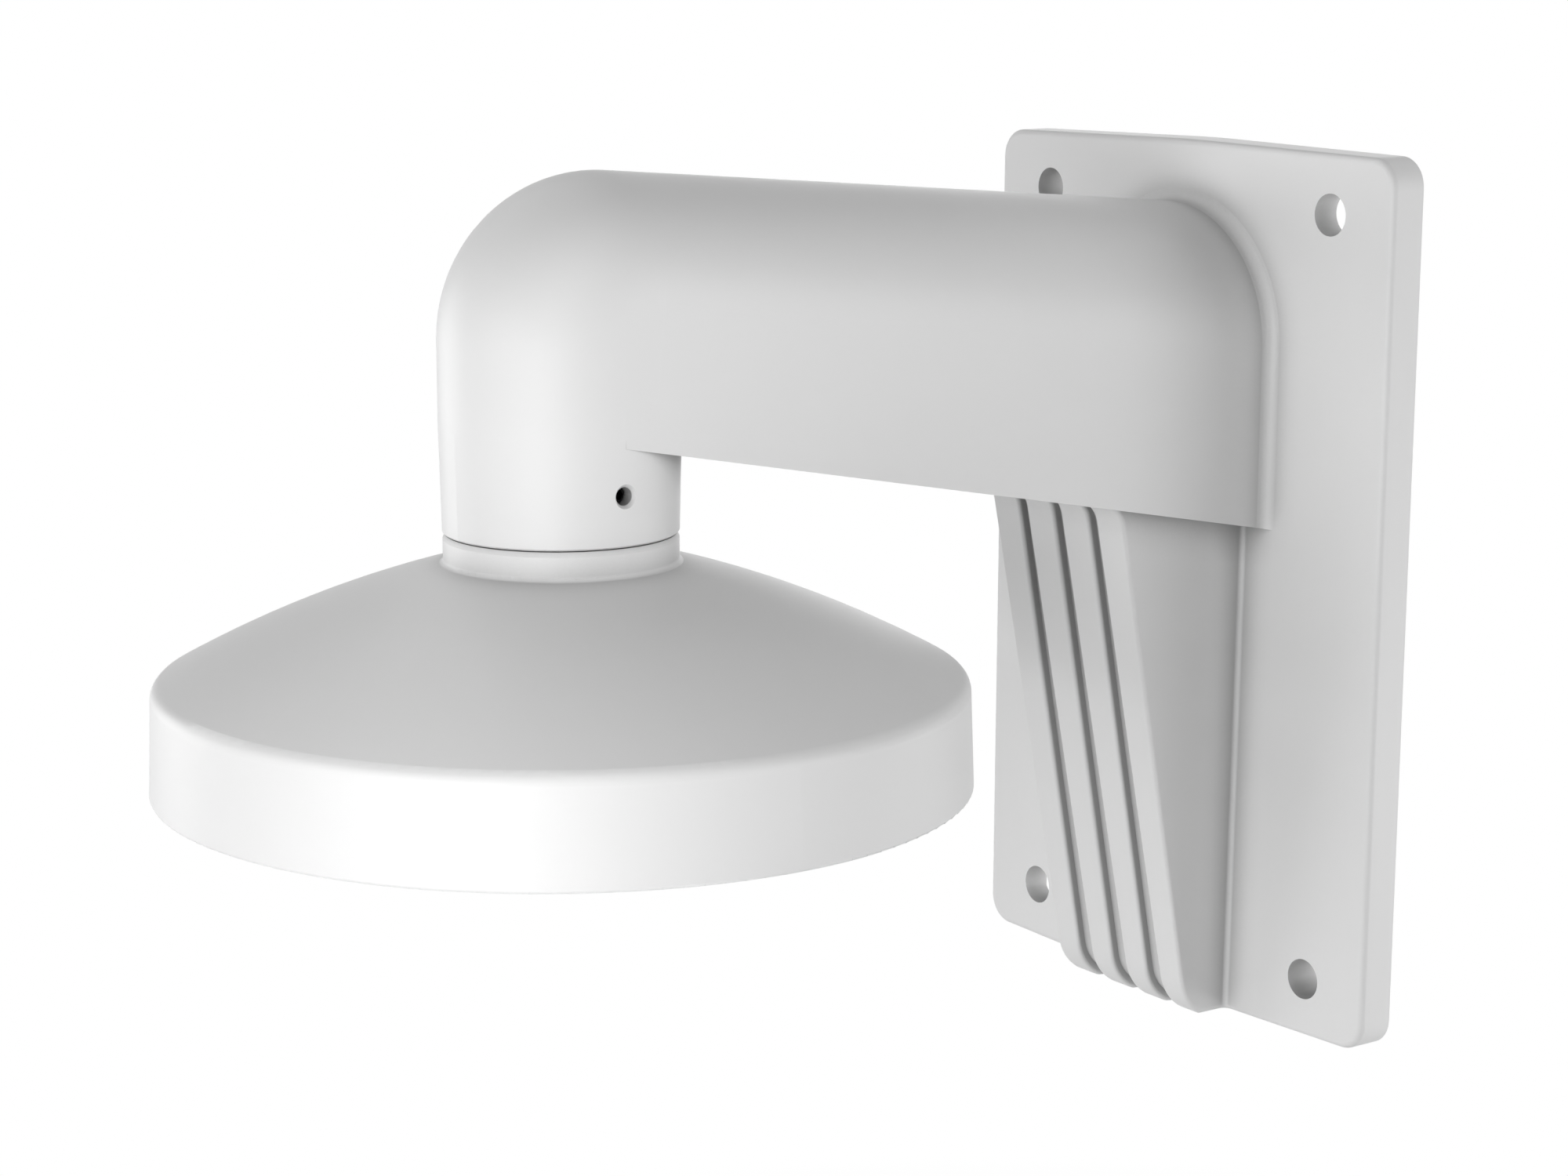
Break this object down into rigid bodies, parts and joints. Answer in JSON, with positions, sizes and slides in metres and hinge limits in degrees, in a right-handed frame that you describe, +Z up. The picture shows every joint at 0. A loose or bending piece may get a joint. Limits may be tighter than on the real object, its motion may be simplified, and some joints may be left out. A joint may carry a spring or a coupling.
{
  "type": "camera wall bracket",
  "caption": "Wall bracket for a dome camera: plate, sloping hollow arm, ribbed gusset and a screwed-on round mounting cap.",
  "frame": {"origin": "middle of the four hole pattern, on the wall face of the plate", "axes": "+Y into the wall, +Z up, X across the plate; the arm reaches out along -Y"},
  "size_m": [0.155, 0.2387, 0.1836],
  "materials": {
    "bracket_coat": "fine satin white powder coat on die-cast aluminium",
    "cap_coat": "fine satin white powder coat on die-cast aluminium"
  },
  "bodies": {
    "root": {"wall_bracket": "bracket_coat", "mounting_cap": "cap_coat"}
  },
  "joints": []
}
